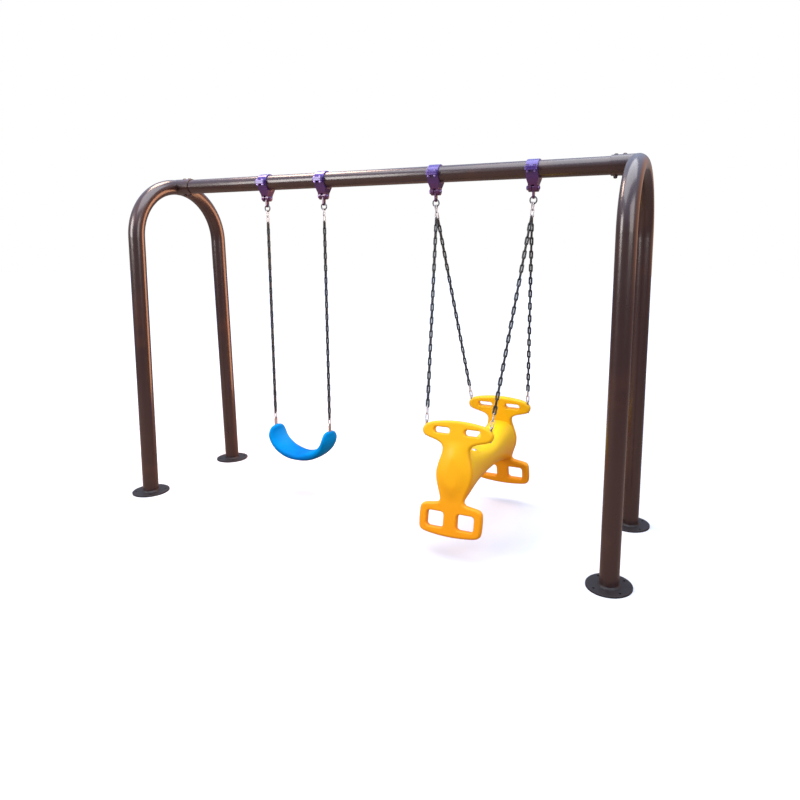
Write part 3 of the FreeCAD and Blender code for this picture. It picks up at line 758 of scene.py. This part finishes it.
studio = {
    "floor": (0.86, 0.86, 0.86),
    "floorRoughness": 0.9,
    "bounce": (0.3, 0.21, 0.16),
    "glow": (0.6, 0.6, 0.6),
    "glowFrom": (2.6, 7.0),  # metres from the middle
    "floorReach": 60.0,  # metres from the middle to each side
    "haze": (0.34, 0.33, 0.34),
    "zenith": (0.85, 1.05, 1.5),
    "warm": (1.2, 0.62, 0.4),
    "warmFrom": (0.72, 0.66, 0.2),  # direction of the middle of the warm glow
    "warmEdge": (0.7, 0.97),  # cosines of the angles where it has faded out and where it is full
    "zenithHeights": (0.0, 0.75),  # heights in the sky where haze ends and where zenith is full
    "warmHeights": (0.75, 0.3),  # heights where the warm glow begins and where it is full
    "skyStrength": 0.75,
    "lights": {
        # name: place, aimed at, width, height, watts, colour
        "overhead": ((0.6, -0.6, 5.6), (0.0, 0.0, 1.0), 6.0, 3.6, 210.0, (0.93, 0.96, 1.0)),
        "frontLeft": ((-3.6, -4.6, 3.4), (0.0, 0.0, 1.1), 2.6, 2.6, 190.0, (1.0, 0.98, 0.95)),
        "backTop": ((-2.3, 0.5, 5.0), (-1.8, 0.0, 2.0), 1.7, 1.3, 95.0, (1.0, 0.74, 0.58)),
        "rightFill": ((4.4, -2.2, 3.2), (0.8, 0.0, 0.5), 2.6, 2.6, 70.0, (1.0, 0.95, 0.9)),
        "warmSide": ((-0.5, 1.5, 1.35), (-1.7, 1.05, 1.35), 1.1, 2.1, 42.0, (1.0, 0.48, 0.26)),
    },
}


def makeLights(look):
    for name, (place, aim, width, height, watts, colour) in look["lights"].items():
        lamp = bpy.data.lights.new(name, "AREA")
        lamp.shape, lamp.size, lamp.size_y = "RECTANGLE", width, height
        lamp.energy, lamp.color = watts, colour
        holder = bpy.data.objects.new(name, lamp)
        holder.location = place
        holder.visible_camera = False
        holder.rotation_euler = (Vector(aim) - Vector(place)).to_track_quat("-Z", "Y").to_euler()
        scene.collection.objects.link(holder)


def makeSky(look):
    # white to the eye; as light a dim haze at the horizon, blue grey overhead, and a warm glow
    # from one side that fades with the angle from its middle
    world = bpy.data.worlds.new("sky")
    world.use_nodes = True
    sky = Tree(world.node_tree)
    facing = sky.add("ShaderNodeTexCoord", {}, {}, "Generated")
    height = sky.add("ShaderNodeSeparateXYZ", {}, {0: facing}, "Z")
    towards = sky.add("ShaderNodeVectorMath", {"operation": "DOT_PRODUCT"},
                      {0: facing, 1: look["warmFrom"]}, "Value")
    cool = sky.mix(sky.step(height, *look["zenithHeights"]), look["haze"], look["zenith"])
    share = sky.step(towards, *look["warmEdge"]) * sky.step(height, *look["warmHeights"])
    tone = sky.mix(share, cool, look["warm"])
    cast = sky.add("ShaderNodeBackground", {}, {"Color": tone, "Strength": look["skyStrength"]})
    seen = sky.add("ShaderNodeBackground", {}, {"Color": (1.0, 1.0, 1.0, 1.0)})
    ray = sky.add("ShaderNodeLightPath", {}, {}, "Is Camera Ray")
    mixed = sky.add("ShaderNodeMixShader", {}, {0: ray, 1: cast, 2: seen})
    output = sky.tree.nodes.new("ShaderNodeOutputWorld")
    sky.tree.links.new(mixed.out, output.inputs["Surface"])
    scene.world = world


def floorPaint(look):
    # pale, and glowing a little far out so that it runs into the white beyond; what bounces
    # off it is dimmer and warmer than what the eye sees
    paint = Paint("paleFloor")
    away = paint.add("ShaderNodeVectorMath", {"operation": "LENGTH"}, {0: paint.place()}, "Value")
    glow = paint.mix(paint.step(away, *look["glowFrom"]), (0.0, 0.0, 0.0), look["glow"])
    paint.finish(Base_Color=(*look["floor"], 1.0), Roughness=look["floorRoughness"],
                 Emission_Color=glow, Emission_Strength=1.0)
    bounce = paint.add("ShaderNodeBsdfDiffuse", {}, {"Color": (*look["bounce"], 1.0)})
    seen = paint.add("ShaderNodeLightPath", {}, {}, "Is Camera Ray")
    shown = Socket(paint, paint.shader.outputs[0])
    mixed = paint.add("ShaderNodeMixShader", {}, {0: seen, 1: bounce, 2: shown})
    paint.tree.links.new(mixed.out, paint.output.inputs["Surface"])
    return paint.material


def makeFloor(look):
    reach = look["floorReach"]
    mesh = bpy.data.meshes.new("studioFloor")
    mesh.from_pydata([(-reach, -reach, 0.0), (reach, -reach, 0.0), (reach, reach, 0.0), (-reach, reach, 0.0)],
                     [], [(0, 1, 2, 3)])
    floor = bpy.data.objects.new("studioFloor", mesh)
    scene.collection.objects.link(floor)
    mesh.materials.append(floorPaint(look))


makeLights(studio)
makeSky(studio)
makeFloor(studio)
scene.view_settings.view_transform = "Standard"
print("floor and light set")
